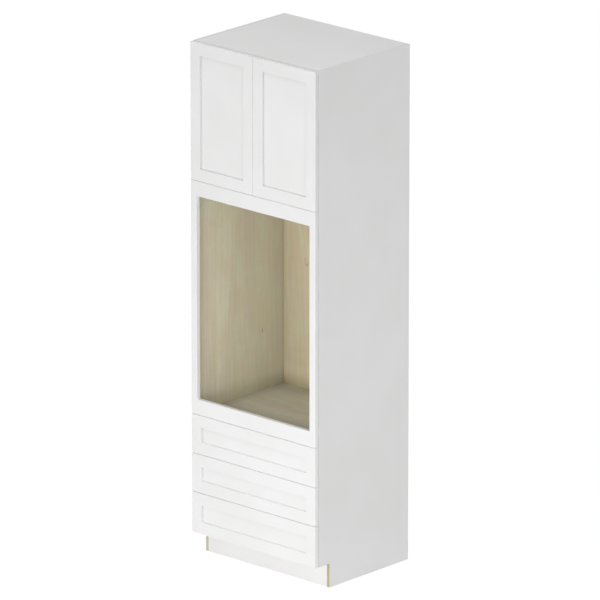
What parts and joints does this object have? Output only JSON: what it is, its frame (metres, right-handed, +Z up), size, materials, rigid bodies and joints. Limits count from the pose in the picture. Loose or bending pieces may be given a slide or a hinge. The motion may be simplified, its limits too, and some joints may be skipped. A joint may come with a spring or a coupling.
{
  "type": "tall oven housing unit",
  "caption": "Tall kitchen housing unit for a built-in oven, with hinged doors over an open appliance bay and drawers on full-extension runners below it.",
  "frame": {"origin": "on the floor under the middle of the unit's outline", "axes": "+Z up; the doors and drawer fronts face -Y; +X is to the right of a viewer who faces the doors"},
  "size_m": [0.762, 0.6252, 2.4384],
  "materials": {
    "side_panel": "white laminate outside, clear-coated maple veneer inside, white front edge, bare plywood at the toe kick",
    "top_panel": "white laminate above, clear-coated maple veneer below",
    "level_veneer": "clear-coated maple veneer, satin",
    "back_veneer": "clear-coated maple veneer, satin",
    "kick_white": "white paint, satin",
    "bare_plywood": "bare plywood",
    "front_white": "white paint, satin",
    "surround_white": "white paint, satin",
    "clear_rubber": "translucent, matt",
    "zinc_plate": "zinc plated",
    "bright_steel": "nickel plated",
    "dowel_wood": "bare",
    "box_birch": "clear-coated birch plywood, satin"
  },
  "bodies": {
    "case": {"left_side_panel": "side_panel", "right_side_panel": "side_panel", "top_panel": "top_panel", "upper_floor": "level_veneer", "oven_deck": "level_veneer", "bottom_panel": "level_veneer", "back_panel": "back_veneer", "toe_kick_board": "kick_white", "rear_kick_board": "bare_plywood", "nailers": "bare_plywood", "deck_cleats": "bare_plywood", "oven_surround": "surround_white", "surround_spacers": "clear_rubber", "surround_brackets": "zinc_plate", "bracket_screws": "bright_steel", "upper_shelf": "level_veneer", "shelf_pins": "zinc_plate", "cam_locks": "zinc_plate", "cam_bolts": "zinc_plate", "dowels": "dowel_wood", "hinge_plates": "zinc_plate", "hinge_arms": "bright_steel", "hinge_screws": "bright_steel", "case_runners": "zinc_plate", "case_runner_screws": "bright_steel", "front_bumpers": "clear_rubber"},
    "left_door": {"left_door_frame": "front_white", "left_door_panel": "front_white", "left_hinge_cups": "bright_steel", "left_hinge_pins": "zinc_plate", "left_cup_screws": "bright_steel"},
    "right_door": {"right_door_frame": "front_white", "right_door_panel": "front_white", "right_hinge_cups": "bright_steel", "right_hinge_pins": "zinc_plate", "right_cup_screws": "bright_steel"},
    "top_drawer": {"top_drawer_frame": "front_white", "top_drawer_panel": "front_white", "top_box_sides": "box_birch", "top_box_ends": "box_birch", "top_box_bottom": "box_birch", "top_box_runners": "zinc_plate", "top_drawer_screws": "bright_steel"},
    "top_link": {"top_link_runners": "bright_steel"},
    "middle_drawer": {"middle_drawer_frame": "front_white", "middle_drawer_panel": "front_white", "middle_box_sides": "box_birch", "middle_box_ends": "box_birch", "middle_box_bottom": "box_birch", "middle_box_runners": "zinc_plate", "middle_drawer_screws": "bright_steel"},
    "middle_link": {"middle_link_runners": "bright_steel"},
    "bottom_drawer": {"bottom_drawer_frame": "front_white", "bottom_drawer_panel": "front_white", "bottom_box_sides": "box_birch", "bottom_box_ends": "box_birch", "bottom_box_bottom": "box_birch", "bottom_box_runners": "zinc_plate", "bottom_drawer_screws": "bright_steel"},
    "bottom_link": {"bottom_link_runners": "bright_steel"}
  },
  "joints": [
    {"name": "left_door_hinge", "type": "hinge", "parent": "case", "child": "left_door", "pos_m": [-0.3723, -0.3023, 2.11435], "axis": [0, 0, -1], "range_deg": [0, 100]},
    {"name": "right_door_hinge", "type": "hinge", "parent": "case", "child": "right_door", "pos_m": [0.3723, -0.3023, 2.11435], "axis": [0, 0, 1], "range_deg": [0, 100]},
    {"name": "top_drawer_slide", "type": "slide", "parent": "case", "child": "top_drawer", "axis": [0, -1, 0], "range_m": [0, 0.53]},
    {"name": "top_link_slide", "type": "slide", "parent": "case", "child": "top_link", "axis": [0, -1, 0], "range_m": [0, 0.265]},
    {"name": "middle_drawer_slide", "type": "slide", "parent": "case", "child": "middle_drawer", "axis": [0, -1, 0], "range_m": [0, 0.53]},
    {"name": "middle_link_slide", "type": "slide", "parent": "case", "child": "middle_link", "axis": [0, -1, 0], "range_m": [0, 0.265]},
    {"name": "bottom_drawer_slide", "type": "slide", "parent": "case", "child": "bottom_drawer", "axis": [0, -1, 0], "range_m": [0, 0.53]},
    {"name": "bottom_link_slide", "type": "slide", "parent": "case", "child": "bottom_link", "axis": [0, -1, 0], "range_m": [0, 0.265]}
  ],
  "couplings": [
    {"joint": "top_link_slide", "follows": "top_drawer_slide", "ratio": 0.5},
    {"joint": "middle_link_slide", "follows": "middle_drawer_slide", "ratio": 0.5},
    {"joint": "bottom_link_slide", "follows": "bottom_drawer_slide", "ratio": 0.5}
  ]
}
